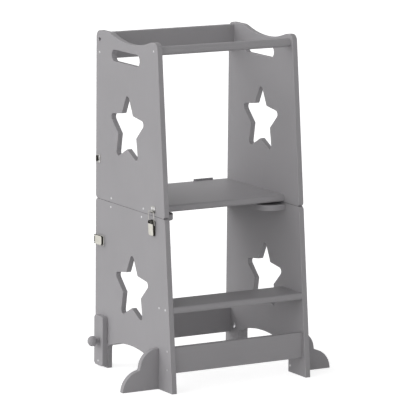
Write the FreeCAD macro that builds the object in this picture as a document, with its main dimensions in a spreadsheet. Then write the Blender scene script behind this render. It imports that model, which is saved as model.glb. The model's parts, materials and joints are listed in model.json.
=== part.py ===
import FreeCAD, Part
import math
import os
import re

import Sketcher
from FreeCAD import Placement, Rotation, Vector

# Folding kitchen helper for a toddler: a wooden tower in two halves. The upper half turns over
# backwards on two butt hinges and then stands upside down behind the lower half as a table, with
# the step of the lower half as its seat.
#
# Frame: +X to the right, +Y to the rear, +Z up, millimetres. The origin is on the floor, in the
# middle of the overall box. Sizes from front to rear are counted from the rear edge of the panels.

SIZES = (
    # Tower
    ("tower_height", 900, "floor to the tops of the ears"),
    ("tower_width", 421, "over the outer faces of the side panels"),
    ("floor_depth", 414, "side panel from front to rear at the floor"),
    ("top_depth", 323, "side panel from front to rear at the top"),
    ("split_height", 451, "height of the cut between the two halves"),
    ("panel_board", 15, "thickness of the side panels"),
    ("rail_board", 15, "thickness of the rails, feet and turn bars"),
    ("shelf_board", 18, "thickness of the platform and the step"),
    ("corner_round", 10, "rounded panel corners at the cut"),
    ("ear_round", 18, "rounded outer corners of the ears"),
    # Upper panel
    ("dip_drop", 19.3, "lowest point of the dipped top edge, below the ears"),
    ("dip_back", 183, "dip's lowest point, from the rear edge"),
    ("dip_radius", 320, "radius of the dip"),
    ("ear_blend", 60, "radius that blends the dip into the ears"),
    ("hand_length", 148, "hand hole, front to rear"),
    ("hand_height", 31, "hand hole, low to high"),
    ("hand_back", 157.5, "middle of the hand hole, from the rear edge"),
    ("hand_drop", 57.4, "middle of the hand hole, below the ears"),
    ("hand_round", 15, "radius of the hand hole's ends"),
    # Star cut-outs
    ("star_tip", 101, "centre of a star to the sharp tip"),
    ("star_waist", 50, "centre of a star to an inner corner"),
    ("star_round", 9.5, "radius of a star's tips"),
    ("upper_star_back", 168.5, "middle of the upper star, from the rear edge"),
    ("upper_star_rise", 204, "middle of the upper star, above the cut"),
    ("lower_star_back", 198, "middle of the lower star, from the rear edge"),
    ("lower_star_up", 237.5, "middle of the lower star, above the floor"),
    # Arch between the legs
    ("rear_leg", 68, "rear leg from front to rear"),
    ("front_leg", 88, "front leg from front to rear, at the floor"),
    ("arch_spring", 62, "height of the arch's shoulders"),
    ("arch_radius", 366, "radius of the arch's top"),
    ("arch_round", 14, "radius of the arch's shoulders"),
    # Platform and what is under it
    ("platform_lift", 2.2, "platform's underside above the cut"),
    ("platform_depth", 296, "platform from front to rear"),
    ("nosing", 7, "rounded front edges of the platform and the step"),
    ("cleat_drop", 4.5, "cleat's top below the cut"),
    ("cleat_height", 16, "cleat, low to high"),
    ("cleat_board", 18, "thickness of the cleats"),
    ("cleat_reach", 300, "cleat's front end, from the rear edge"),
    ("hinge_rail_height", 50, "hinge rail, low to high"),
    ("hinge_rail_drop", 3, "hinge rail's top below the cut"),
    # Step
    ("step_top", 223.8, "top of the step above the floor"),
    ("step_depth", 104, "step from front to rear"),
    # Rails
    ("low_rail_bottom", 50, "underside of the two low rails"),
    ("low_rail_height", 69, "low rails, low to high"),
    ("front_rail_inset", 10.5, "front rail behind the panel's front edge"),
    ("rear_rail_inset", 11, "rear rails in from the rear edge"),
    ("top_rail_drop", 6, "top rear rail's top, below the ears"),
    ("top_rail_height", 70, "top rear rail, low to high"),
    ("rail_round", 2.5, "softened long edges of the rails"),
    # Round bar at the front
    ("dowel_radius", 11.5, "radius of the round bar"),
    ("dowel_back", 305.5, "round bar's axis, from the rear edge"),
    ("dowel_drop", 22, "round bar's axis, below the ears"),
    # Side feet
    ("foot_reach", 106, "foot beyond the side panel"),
    ("foot_height", 108.5, "foot, low to high"),
    ("foot_waist", 54.5, "foot's inner corner, from the panel"),
    ("foot_waist_up", 55, "foot's inner corner above the floor"),
    ("foot_upper_radius", 51, "radius of the foot's upper wave"),
    ("foot_lower_radius", 57, "radius of the foot's lower wave"),
    ("foot_round", 7, "radius in the foot's inner corner"),
    ("foot_back", 327.8, "foot's rear face, from the rear edge"),
    # Butt hinges
    ("hinge_length", 60, "hinge along its pin"),
    ("hinge_inset", 45, "outer end of a hinge, from the side panel"),
    ("hinge_drop", 1, "hinge pins below the cut"),
    ("hinge_gap", 3.5, "hinge pins behind the rear edge"),
    ("knuckle_radius", 3.2, "outer radius of the knuckles"),
    ("hinge_pin_radius", 1.5, "radius of the hinge pins"),
    ("leaf_plate", 1.6, "thickness of the hinge leaves"),
    ("leaf_start", 3.6, "edge of a leaf, from the pin's height"),
    ("leaf_reach", 26, "far edge of a leaf, from the pin's height"),
    # Draw latches: a lever on a base, with a wire bail that hooks a strike
    ("front_latch_back", 309.5, "front latches' middle, from the rear edge"),
    ("front_latch_drop", 15, "front latches' lever pin below the cut"),
    ("rear_latch_back", 8, "rear latches' lever pin, from the rear edge"),
    ("rear_latch_drop", 109.5, "rear latches' middle below the cut"),
    ("sheet_metal", 1.2, "thickness of the latches' sheet metal"),
    ("base_length", 36, "latch base from the lever pin to its far end"),
    ("base_nose", 5, "latch base past the lever pin"),
    ("base_width", 20.8, "latch base across the pull"),
    ("curl_radius", 2.9, "base's curl round the lever pin"),
    ("curl_width", 15, "base's curl across the pull"),
    ("lever_pin_up", 5.6, "lever pin above the panel"),
    ("lever_pin_radius", 1.5, "radius of the lever pins"),
    ("lever_length", 38, "lever from its pin to the free end"),
    ("lever_width", 24, "lever over its flanges"),
    ("lever_nose", 3.4, "rounded end of the lever's flanges"),
    ("lever_low", 1.6, "lever's flanges above the panel"),
    ("lever_end_up", 6.6, "outside of the lever above the panel, at its free end"),
    ("lever_window", 4.4, "open part of the lever at its pin"),
    ("bail_pin_back", 8, "bail's pivot from the lever pin"),
    ("bail_pin_up", 4.2, "bail's pivot above the panel"),
    ("bail_wire", 2, "thickness of the bail's square wire"),
    ("bail_length", 36, "bail from its pivot to the crossbar"),
    ("bail_round", 5, "bail's mitred bends at the crossbar"),
    ("bail_rise", 175.7, "angle of a closed bail from the lever, degrees"),
    ("strike_start", 24, "strike's hook from the lever pin"),
    ("strike_length", 17, "strike along the pull"),
    ("strike_width", 22, "strike's base across the pull"),
    ("hook_width", 16, "strike's hook across the pull"),
    ("hook_height", 5.4, "strike's hook above the panel"),
    ("hook_lip", 3.6, "strike's hook along the pull"),
    # Turn bars at the rear legs
    ("bar_length", 135, "turn bar, end to end"),
    ("bar_width", 47, "turn bar, side to side"),
    ("bar_round", 9, "turn bar's rounded corners"),
    ("bar_back", 44.5, "turn bar's bolt, from the rear edge"),
    ("bar_up", 72.5, "turn bar's bolt above the floor"),
    ("bolt_radius", 3, "radius of the turn bar's bolt"),
    ("bolt_head_radius", 8, "radius of the bolt's head"),
    ("bolt_head_height", 3.2, "height of the bolt's head"),
    ("knob_radius", 13.9, "largest radius of the knob"),
    ("knob_length", 30, "knob from the bar to its crown"),
    ("knob_neck_radius", 7.4, "knob's neck"),
    ("knob_neck_length", 10.5, "knob's neck from the bar"),
    ("knob_rim_end", 17.5, "end of the knob's rim, from the bar"),
    ("knob_crown_radius", 8, "radius of the knob's flat crown"),
    ("knob_bore", 23, "depth of the knob's bore"),
    # Clearances
    ("turning_gap", 0.06, "radial clearance of what turns on a pin"),
    ("seat_gap", 0.15, "radial clearance of a bolt in its hole"),
    ("side_gap", 0.4, "clearance between pieces that slide past each other"),
    ("bar_gap", 0.3, "clearance between turn bar, panel and knob"),
)

doc = FreeCAD.newDocument("KitchenHelper")
spec = doc.addObject("Spreadsheet::Sheet", "Spec")
for row, (alias, number, note) in enumerate(SIZES, start=1):
    spec.set(f"A{row}", note)
    spec.set(f"B{row}", str(number))
    spec.setAlias(f"B{row}", alias)
doc.recompute()

ALIASES = {alias for alias, number, note in SIZES}
LEFT, RIGHT = "left", "right"
SIDES = (LEFT, RIGHT)
nodes = []


# ---------------------------------------------------------------------------------------------
# Expressions on the size table
# ---------------------------------------------------------------------------------------------
def linked(expression):
    """The expression with each size written as a reference to the table."""
    return re.sub(r"[a-z][a-z_]*", lambda word: f"Spec.{word.group()}" if word.group() in ALIASES
                  else word.group(), str(expression))


def size(expression):
    """The number that an expression on the table gives."""
    result = spec.evalExpression(linked(expression))
    return float(getattr(result, "Value", result))


def bind(thing, prop, expression):
    thing.setExpression(prop, linked(expression))


def place(thing, x, y, z, rotation=None):
    """Puts an object at x, y, z, each an expression, with its origin turned by rotation."""
    thing.Placement = Placement(Vector(size(x), size(y), size(z)), rotation or Rotation())
    for axis, expression in zip("xyz", (x, y, z)):
        bind(thing, f"Placement.Base.{axis}", expression)


def front_edge(height):
    """Front edge of the side panels at a height, from the rear edge (negative is to the front)."""
    return f"-(floor_depth - (floor_depth - top_depth) * ({height}) / tower_height)"


REAR = "(floor_depth - hinge_gap - knuckle_radius) / 2"
INSIDE = "(tower_width / 2 - panel_board)"
INNER_WIDTH = "(tower_width - 2 * panel_board)"
HINGE_UP = "(split_height - hinge_drop)"


# ---------------------------------------------------------------------------------------------
# Bodies, sketches and features
# ---------------------------------------------------------------------------------------------
def new_body(label):
    body = doc.addObject("PartDesign::Body", label)
    body.Label = label
    nodes.append(body)
    return body


def new_sketch(body, name, role, offset=None):
    sketch = body.newObject("Sketcher::SketchObject", f"{body.Label}_{name}")
    plane = next(o for o in body.Origin.OriginFeatures if o.Role == role)
    sketch.AttachmentSupport = [(plane, "")]
    sketch.MapMode = "FlatFace"
    if offset is not None:
        sketch.AttachmentOffset = Placement(Vector(0, 0, size(offset)), Rotation())
        bind(sketch, "AttachmentOffset.Base.z", offset)
    return sketch


def pin_point(sketch, geometry, end, point):
    """Holds one point of a sketch at two expressions."""
    for kind, axis, expression in (("DistanceX", -2, point[0]), ("DistanceY", -1, point[1])):
        number = size(expression)
        if abs(number) < 1e-9:
            sketch.addConstraint(Sketcher.Constraint("PointOnObject", geometry, end, axis))
        else:
            index = sketch.addConstraint(Sketcher.Constraint(kind, -1, 1, geometry, end, number))
            bind(sketch, f"Constraints[{index}]", expression)


def outline(sketch, corners, arcs=None):
    """Closed outline, anticlockwise through the corners. arcs gives the radius of a side that
    bulges outwards, by the number of the corner where it starts."""
    arcs = arcs or {}
    points = [Vector(size(x), size(y), 0) for x, y in corners]
    sides = []
    for i, start in enumerate(points):
        stop = points[(i + 1) % len(points)]
        if i not in arcs:
            sides.append(sketch.addGeometry(Part.LineSegment(start, stop)))
            continue
        radius = size(arcs[i])
        run = stop - start
        left = Vector(-run.y, run.x, 0) / run.Length
        reach = math.sqrt(max(radius ** 2 - (run.Length / 2) ** 2, 0))
        centre = (start + stop) / 2 + left * reach
        angles = [math.atan2(p.y - centre.y, p.x - centre.x) for p in (start, stop)]
        if angles[1] < angles[0]:
            angles[1] += 2 * math.pi
        arc = Part.ArcOfCircle(Part.Circle(centre, Vector(0, 0, 1), radius), *angles)
        sides.append(sketch.addGeometry(arc))
    for i, side in enumerate(sides):
        pin_point(sketch, side, 1, corners[i])
        following = sides[(i + 1) % len(sides)]
        sketch.addConstraint(Sketcher.Constraint("Coincident", side, 2, following, 1))
        if i in arcs:
            index = sketch.addConstraint(Sketcher.Constraint("Radius", side, size(arcs[i])))
            bind(sketch, f"Constraints[{index}]", arcs[i])


def rectangle(sketch, low, high):
    outline(sketch, [low, (high[0], low[1]), high, (low[0], high[1])])


def circles(sketch, centres, radius):
    for centre in centres:
        middle = Vector(size(centre[0]), size(centre[1]), 0)
        geometry = sketch.addGeometry(Part.Circle(middle, Vector(0, 0, 1), size(radius)))
        pin_point(sketch, geometry, 3, centre)
        index = sketch.addConstraint(Sketcher.Constraint("Radius", geometry, size(radius)))
        bind(sketch, f"Constraints[{index}]", radius)


def pad(body, sketch, length):
    feature = body.newObject("PartDesign::Pad", f"{sketch.Name}_pad")
    feature.Profile = sketch
    feature.Length = size(length)
    bind(feature, "Length", length)
    doc.recompute()
    return feature


def pocket(body, sketch, depth=None, forward=False):
    """Cuts a sketch into the body, against the sketch's normal or, with forward, along it."""
    before = body.Shape.Volume
    feature = body.newObject("PartDesign::Pocket", f"{sketch.Name}_pocket")
    feature.Profile = sketch
    feature.Reversed = forward
    if depth is None:
        feature.Type = "ThroughAll"
    else:
        feature.Length = size(depth)
        bind(feature, "Length", depth)
    doc.recompute()
    if not body.Shape.Volume < before - 1e-3:
        raise RuntimeError(f"{feature.Name} cuts nothing")
    return feature


def round_edges(body, name, radius, chosen):
    """Fillet on the edges of the body that the function chosen accepts."""
    base = body.Tip
    picked = [f"Edge{i}" for i, edge in enumerate(base.Shape.Edges, start=1) if chosen(edge)]
    if not picked:
        raise RuntimeError(f"{body.Label}: no edge for {name}")
    feature = body.newObject("PartDesign::Fillet", f"{body.Label}_{name}")
    feature.Base = (base, picked)
    feature.Radius = size(radius)
    bind(feature, "Radius", radius)
    doc.recompute()


def middle_of(edge):
    return edge.valueAt((edge.FirstParameter + edge.LastParameter) / 2)


def runs_along(edge, axis):
    """True for a straight edge that is parallel to an axis, 0 to 2 for X to Z."""
    if not isinstance(edge.Curve, Part.Line):
        return False
    return abs(edge.Curve.Direction[axis]) > 0.999


def across_at(axis, points):
    """Picks edges along an axis that pass through one of the points in the other two axes."""
    others = [i for i in range(3) if i != axis]
    spots = [(size(a), size(b)) for a, b in points]

    def chosen(edge):
        if not runs_along(edge, axis):
            return False
        at = middle_of(edge)
        return any(math.hypot(at[others[0]] - a, at[others[1]] - b) < 0.05 for a, b in spots)
    return chosen


# ---------------------------------------------------------------------------------------------
# Part primitives
# ---------------------------------------------------------------------------------------------
ALONG_X = Rotation(Vector(0, 1, 0), 90)
HALF_TURN = Rotation(Vector(0, 0, 1), 180)


def block(name, lengths, corner):
    box = doc.addObject("Part::Box", name)
    for prop, expression in zip(("Length", "Width", "Height"), lengths):
        setattr(box, prop, size(expression))
        bind(box, prop, expression)
    place(box, *corner)
    return box


def rod(name, radius, length, start):
    """Cylinder along X from start."""
    cylinder = doc.addObject("Part::Cylinder", name)
    for prop, expression in (("Radius", radius), ("Height", length)):
        setattr(cylinder, prop, size(expression))
        bind(cylinder, prop, expression)
    place(cylinder, *start, ALONG_X)
    return cylinder


def fuse(name, shapes):
    joined = doc.addObject("Part::MultiFuse", name)
    joined.Shapes = shapes
    return joined


def cut(name, base, tool):
    result = doc.addObject("Part::Cut", name)
    result.Base, result.Tool = base, tool
    return result


def drill(body, name, spots, radius, depth, from_start, length):
    """Round holes along X into one face of a body: the face at x = 0 or the one at x = length."""
    offset = None if from_start else length
    sketch = new_sketch(body, name, "YZ_Plane", offset)
    circles(sketch, spots, radius)
    pocket(body, sketch, depth, forward=from_start)


# ---------------------------------------------------------------------------------------------
# Side panels. The left panel's outer face is at its own x = 0, the right panel's at x = board
# ---------------------------------------------------------------------------------------------
def star(back, up):
    """Corners of a five-pointed star, anticlockwise from its upper tip."""
    corners = []
    for i in range(10):
        reach = "star_waist" if i % 2 else "star_tip"
        angle = 90 + 36 * i
        corners.append((f"-{back} + {reach} * cos({angle} deg)", f"{up} + {reach} * sin({angle} deg)"))
    return corners


def cut_star(body, back, up):
    corners = star(back, up)
    sketch = new_sketch(body, "star", "YZ_Plane")
    outline(sketch, corners)
    pocket(body, sketch, forward=True)
    round_edges(body, "star_tips", "star_round", across_at(0, corners[::2]))


def upper_panel(side):
    body = new_body(f"upper_panel_{side}")
    bottom_front = (front_edge("split_height"), "split_height")
    top_front = (front_edge("tower_height"), "tower_height")
    sketch = new_sketch(body, "outline", "YZ_Plane")
    outline(sketch, [bottom_front, ("0", "split_height"), ("0", "tower_height"), top_front])
    pad(body, sketch, "panel_board")

    sketch = new_sketch(body, "dip", "YZ_Plane")
    circles(sketch, [("-dip_back", "tower_height - dip_drop + dip_radius")], "dip_radius")
    pocket(body, sketch, forward=True)
    half_dip = "sqrt(dip_radius ^ 2 - (dip_radius - dip_drop) ^ 2)"
    dip_ends = [(f"-dip_back {sign} {half_dip}", "tower_height") for sign in "-+"]
    round_edges(body, "dip_ends", "ear_blend", across_at(0, dip_ends))
    round_edges(body, "ears", "ear_round", across_at(0, [top_front, ("0", "tower_height")]))
    round_edges(body, "corners", "corner_round", across_at(0, [bottom_front, ("0", "split_height")]))

    hand_up = "tower_height - hand_drop"
    low = ("-hand_back - hand_length / 2", f"{hand_up} - hand_height / 2")
    high = ("-hand_back + hand_length / 2", f"{hand_up} + hand_height / 2")
    sketch = new_sketch(body, "hand_hole", "YZ_Plane")
    rectangle(sketch, low, high)
    pocket(body, sketch, forward=True)
    round_edges(body, "hand_hole_ends", "hand_round",
                across_at(0, [low, high, (low[0], high[1]), (high[0], low[1])]))
    cut_star(body, "upper_star_back", "split_height + upper_star_rise")

    place(body, "-tower_width / 2" if side == LEFT else INSIDE, REAR, "0")


def lower_panel(side):
    body = new_body(f"lower_panel_{side}")
    top_front = (front_edge("split_height"), "split_height")
    sketch = new_sketch(body, "outline", "YZ_Plane")
    outline(sketch, [("-floor_depth", "0"), ("0", "0"), ("0", "split_height"), top_front])
    pad(body, sketch, "panel_board")
    round_edges(body, "corners", "corner_round", across_at(0, [top_front, ("0", "split_height")]))

    front, rear = "-(floor_depth - front_leg)", "-rear_leg"
    sketch = new_sketch(body, "arch", "YZ_Plane")
    outline(sketch, [(front, "-panel_board"), (rear, "-panel_board"), (rear, "arch_spring"),
                     (front, "arch_spring")], arcs={2: "arch_radius"})
    pocket(body, sketch, forward=True)
    round_edges(body, "arch_shoulders", "arch_round",
                across_at(0, [(front, "arch_spring"), (rear, "arch_spring")]))
    cut_star(body, "lower_star_back", "lower_star_up")

    left = side == LEFT
    drill(body, "bolt", [("-bar_back", "bar_up")], "bolt_radius + seat_gap", None, left, "panel_board")
    place(body, "-tower_width / 2" if left else INSIDE, REAR, "0")


# ---------------------------------------------------------------------------------------------
# Boards that run across the tower, between the panels
# ---------------------------------------------------------------------------------------------
def cross_board(label, front, rear, bottom, top, rounding, radius):
    """Board with the corners front, rear, bottom and top in its section. rounding lists which of
    its four long edges are rounded."""
    body = new_body(label)
    sketch = new_sketch(body, "section", "YZ_Plane")
    rectangle(sketch, (front, bottom), (rear, top))
    pad(body, sketch, INNER_WIDTH)
    named = {"front_low": (front, bottom), "front_high": (front, top),
             "rear_low": (rear, bottom), "rear_high": (rear, top)}
    round_edges(body, "edges", radius, across_at(0, [named[name] for name in rounding]))
    place(body, f"-{INSIDE}", REAR, "0")


LONG_EDGES = ("front_low", "front_high", "rear_low", "rear_high")


def upper_boards():
    bottom = "(split_height + platform_lift)"
    cross_board("platform_board", "-platform_depth", "0", bottom, f"{bottom} + shelf_board",
                ("front_low", "front_high"), "nosing")
    cross_board("top_rear_rail", "-(rear_rail_inset + rail_board)", "-rear_rail_inset",
                "tower_height - top_rail_drop - top_rail_height", "tower_height - top_rail_drop",
                LONG_EDGES, "rail_round")

    bar = new_body("front_dowel")
    sketch = new_sketch(bar, "section", "YZ_Plane")
    circles(sketch, [("-dowel_back", "tower_height - dowel_drop")], "dowel_radius")
    pad(bar, sketch, INNER_WIDTH)
    place(bar, f"-{INSIDE}", REAR, "0")


def lower_boards():
    step_front = front_edge("step_top - shelf_board / 2")
    cross_board("step_board", step_front, f"{step_front} + step_depth", "step_top - shelf_board",
                "step_top", ("front_low", "front_high"), "nosing")
    rail_front = front_edge("low_rail_bottom + low_rail_height / 2") + " + front_rail_inset"
    cross_board("lower_front_rail", rail_front, f"{rail_front} + rail_board",
                "low_rail_bottom", "low_rail_bottom + low_rail_height", LONG_EDGES, "rail_round")
    cross_board("lower_rear_rail", "-(rear_rail_inset + rail_board)", "-rear_rail_inset",
                "low_rail_bottom", "low_rail_bottom + low_rail_height", LONG_EDGES, "rail_round")
    top = "split_height - hinge_rail_drop"
    cross_board("hinge_rail", "-rail_board", "0", f"{top} - hinge_rail_height", top,
                ("front_low",), "rail_round")


def cleat(side):
    """Batten on a lower panel's inner face, from the hinge rail to just in front of the platform."""
    body = new_body(f"cleat_{side}")
    top = "(split_height - cleat_drop)"
    sketch = new_sketch(body, "side", "YZ_Plane")
    rectangle(sketch, ("-cleat_reach", f"{top} - cleat_height"), ("-rail_board", top))
    pad(body, sketch, "cleat_board")
    place(body, f"-{INSIDE}" if side == LEFT else f"{INSIDE} - cleat_board", REAR, "0")


def foot(side):
    """Side foot with a two-step wave, standing square to the panel."""
    body = new_body(f"foot_{side}")
    sketch = new_sketch(body, "wave", "XZ_Plane")
    waist = ("foot_waist", "foot_waist_up")
    outline(sketch, [("0", "0"), ("foot_reach", "0"), waist, ("0", "foot_height")],
            arcs={1: "foot_lower_radius", 2: "foot_upper_radius"})
    pad(body, sketch, "rail_board")
    round_edges(body, "waist", "foot_round", across_at(1, [waist]))
    if side == LEFT:
        place(body, "-tower_width / 2", f"{REAR} - foot_back - rail_board", "0", HALF_TURN)
    else:
        place(body, "tower_width / 2", f"{REAR} - foot_back", "0")


# ---------------------------------------------------------------------------------------------
# Butt hinges: three knuckles, two on the lower leaf and one on the upper one
# ---------------------------------------------------------------------------------------------
KNUCKLES = 3


def hinge(side):
    start = f"-{INSIDE} + hinge_inset" if side == LEFT else f"{INSIDE} - hinge_inset - hinge_length"
    pin_y = f"{REAR} + hinge_gap"
    pin = rod(f"hinge_pin_{side}", "hinge_pin_radius", "hinge_length", (start, pin_y, HINGE_UP))
    pin.Label = pin.Name
    nodes.append(pin)
    for half, owned in (("lower", (0, 2)), ("upper", (1,))):
        name = f"hinge_leaf_{half}_{side}"
        up = half == "upper"
        plate_z = f"{HINGE_UP} + leaf_start" if up else f"{HINGE_UP} - leaf_reach"
        pieces = [block(f"{name}_plate", ("hinge_length", "leaf_plate", "leaf_reach - leaf_start"),
                        (start, REAR, plate_z))]
        for index in owned:
            first = f"{start} + hinge_length / {KNUCKLES} * {index} + side_gap / 4"
            long = f"hinge_length / {KNUCKLES} - side_gap / 2"
            pieces.append(rod(f"{name}_knuckle_{index}", "knuckle_radius", long,
                              (first, pin_y, HINGE_UP)))
            pieces.append(block(f"{name}_tab_{index}", (long, "leaf_plate", "leaf_start"),
                                (first, REAR, HINGE_UP if up else f"{HINGE_UP} - leaf_start")))
        bore = rod(f"{name}_bore", "hinge_pin_radius + turning_gap", "hinge_length",
                   (start, pin_y, HINGE_UP))
        leaf = cut(name, fuse(f"{name}_solid", pieces), bore)
        leaf.Label = name
        nodes.append(leaf)


# ---------------------------------------------------------------------------------------------
# Draw latches. In a latch's own frame +X is the pull towards the strike, +Y is across, +Z is away
# from the panel, and the origin is on the panel under the lever pin
# ---------------------------------------------------------------------------------------------
LEVER_TOP = "(lever_pin_up + lever_nose)"
LEVER_UNDER = f"({LEVER_TOP} - sheet_metal)"
BAIL_INNER = "(lever_width / 2 + side_gap)"
BAIL_OUTER = f"({BAIL_INNER} + bail_wire)"


def frame_of(pull, away):
    """Rotation of a latch frame whose +X points along pull and +Z along away."""
    return Rotation(pull, away.cross(pull), away, "ZXY")


def latch_seat(side, where):
    """Where a latch's origin is and how it is turned: where is front, rear or rear_strike."""
    away = Vector(-1, 0, 0) if side == LEFT else Vector(1, 0, 0)
    x = "-tower_width / 2" if side == LEFT else "tower_width / 2"
    if where == "front":
        seat = (x, f"{REAR} - front_latch_back", "split_height - front_latch_drop")
        return seat, frame_of(Vector(0, 0, 1), away)
    if where == "rear":
        seat = (x, f"{REAR} - rear_latch_back", "split_height - rear_latch_drop")
        return seat, frame_of(Vector(0, 1, 0), away)
    # A rear strike meets its latch when the upper half is folded over, so it sits at the place
    # that the half turn about the hinge pins brings there
    seat = (x, f"{REAR} + 2 * hinge_gap + rear_latch_back",
            "split_height + rear_latch_drop - 2 * hinge_drop")
    return seat, frame_of(Vector(0, -1, 0), away)


def across(body, name, half_width, corners, arcs=None):
    """Sketch of a side view (x, z) in the plane y = half_width."""
    sketch = new_sketch(body, name, "XZ_Plane", f"-({half_width})")
    outline(sketch, corners, arcs)
    return sketch


def disc(body, name, half_width, centre, radius, width):
    sketch = new_sketch(body, name, "XZ_Plane", f"-({half_width})")
    circles(sketch, [centre], radius)
    pad(body, sketch, width)


def pin_hole(body, name, half_width, centre, radius):
    sketch = new_sketch(body, name, "XZ_Plane", f"-({half_width})")
    circles(sketch, [centre], radius)
    pocket(body, sketch, forward=True)


def latch_base(side, where):
    """Base plate whose end curls up and round the lever's pin."""
    body = new_body(f"{where}_latch_base_{side}")
    sketch = new_sketch(body, "plate", "XY_Plane")
    rectangle(sketch, ("-base_length", "-base_width / 2"), ("base_nose", "base_width / 2"))
    pad(body, sketch, "sheet_metal")
    sketch = across(body, "riser", "curl_width / 2",
                    [("curl_radius - sheet_metal", "0"), ("curl_radius", "0"),
                     ("curl_radius", "lever_pin_up"), ("curl_radius - sheet_metal", "lever_pin_up")])
    pad(body, sketch, "curl_width")
    disc(body, "curl", "curl_width / 2", ("0", "lever_pin_up"), "curl_radius", "curl_width")
    pin_hole(body, "pin", "curl_width / 2 + 1", ("0", "lever_pin_up"),
             "lever_pin_radius + turning_gap")
    seat, turn = latch_seat(side, where)
    place(body, *seat, turn)


def latch_lever(side, where):
    """Channel that lies over the base: a sloping face, two flanges and the pin riveted into them,
    with the face cut back round the base's curl."""
    body = new_body(f"{where}_latch_lever_{side}")
    sketch = across(body, "side", "lever_width / 2",
                    [("-lever_length", "lever_low"), ("0", "lever_pin_up - lever_nose"),
                     ("0", LEVER_TOP), ("-lever_length", "lever_end_up")])
    pad(body, sketch, "lever_width")
    disc(body, "nose", "lever_width / 2", ("0", "lever_pin_up"), "lever_nose", "lever_width")
    slope = f"({LEVER_TOP} - lever_end_up) / lever_length"
    sketch = across(body, "channel", "lever_width / 2 - sheet_metal",
                    [("-lever_length - 1", "-1"), ("lever_nose + 1", "-1"),
                     ("lever_nose + 1", f"{LEVER_TOP} + 1"), ("-lever_window", f"{LEVER_TOP} + 1"),
                     ("-lever_window", f"{LEVER_UNDER} - {slope} * lever_window"),
                     ("-lever_length - 1", f"{LEVER_UNDER} - {slope} * (lever_length + 1)")])
    pocket(body, sketch, "lever_width - 2 * sheet_metal", forward=True)
    disc(body, "pin", "lever_width / 2", ("0", "lever_pin_up"), "lever_pin_radius", "lever_width")
    pin_hole(body, "bail_holes", "lever_width / 2 + 1", ("-bail_pin_back", "bail_pin_up"),
             "bail_wire / sqrt(2) + turning_gap")
    seat, turn = latch_seat(side, where)
    place(body, *seat, turn)


def latch_bail(side, where):
    """Bail of square wire: its own origin is its pivot and +X runs along it to the crossbar. Its
    ends are bent inwards, through the holes in the lever's flanges."""
    body = new_body(f"{where}_latch_bail_{side}")
    tip = "(lever_width / 2 - sheet_metal - side_gap / 2)"
    half, far = "(bail_wire / 2)", "(bail_length + bail_wire / 2)"
    inner = "(bail_round - bail_wire * (2 - sqrt(2)))"
    sketch = new_sketch(body, "loop", "XY_Plane", "-bail_wire / 2")
    outline(sketch, [(f"-{half}", f"-{BAIL_OUTER}"), (f"{far} - bail_round", f"-{BAIL_OUTER}"),
                     (far, f"-{BAIL_OUTER} + bail_round"), (far, f"{BAIL_OUTER} - bail_round"),
                     (f"{far} - bail_round", BAIL_OUTER), (f"-{half}", BAIL_OUTER),
                     (f"-{half}", tip), (half, tip), (half, BAIL_INNER),
                     (f"{far} - bail_wire - {inner}", BAIL_INNER),
                     (f"{far} - bail_wire", f"{BAIL_INNER} - {inner}"),
                     (f"{far} - bail_wire", f"-{BAIL_INNER} + {inner}"),
                     (f"{far} - bail_wire - {inner}", f"-{BAIL_INNER}"), (half, f"-{BAIL_INNER}"),
                     (half, f"-{tip}"), (f"-{half}", f"-{tip}")])
    pad(body, sketch, "bail_wire")
    (x, y, z), turn = latch_seat(side, where)
    x = f"{x} {'-' if side == LEFT else '+'} bail_pin_up"
    if where == "front":
        # The front latches are closed, with the bail up over the strike
        place(body, x, y, f"{z} - bail_pin_back",
              turn * Rotation(Vector(0, 1, 0), 180 + size("bail_rise")))
    else:
        place(body, x, f"{y} - bail_pin_back", z, turn * Rotation(Vector(0, 1, 0), 180))


def latch_strike(side, where):
    """Base screwed to the upper panel, with a hook that opens away from the latch."""
    body = new_body(f"{where}_strike_{side}")
    sketch = across(body, "base", "strike_width / 2",
                    [("strike_start", "0"), ("strike_start + strike_length", "0"),
                     ("strike_start + strike_length", "sheet_metal"), ("strike_start", "sheet_metal")])
    pad(body, sketch, "strike_width")
    sketch = across(body, "hook", "hook_width / 2",
                    [("strike_start", "0"), ("strike_start + sheet_metal", "0"),
                     ("strike_start + sheet_metal", "hook_height - sheet_metal"),
                     ("strike_start + hook_lip", "hook_height - sheet_metal"),
                     ("strike_start + hook_lip", "hook_height"), ("strike_start", "hook_height")])
    pad(body, sketch, "hook_width")
    seat, turn = latch_seat(side, "front" if where == "front" else "rear_strike")
    place(body, *seat, turn)


# ---------------------------------------------------------------------------------------------
# Turn bars: a bar, its bolt through the rear leg and a knob that clamps it
# ---------------------------------------------------------------------------------------------
def spun_body(label, corners):
    """Body turned about its own X axis from corners in (x, radius)."""
    body = doc.addObject("PartDesign::Body", label)
    body.Label = label
    sketch = new_sketch(body, "profile", "XY_Plane")
    outline(sketch, corners)
    spin = body.newObject("PartDesign::Revolution", f"{label}_spin")
    spin.Profile = sketch
    spin.ReferenceAxis = (sketch, ["H_Axis"])
    spin.Angle = 360
    doc.recompute()
    return body


def outwards(side, body, distance, y, z):
    """Places a turned body whose +X points away from the tower's middle."""
    sign = "-" if side == LEFT else ""
    place(body, f"{sign}({distance})", y, z, HALF_TURN if side == LEFT else Rotation())


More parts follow.
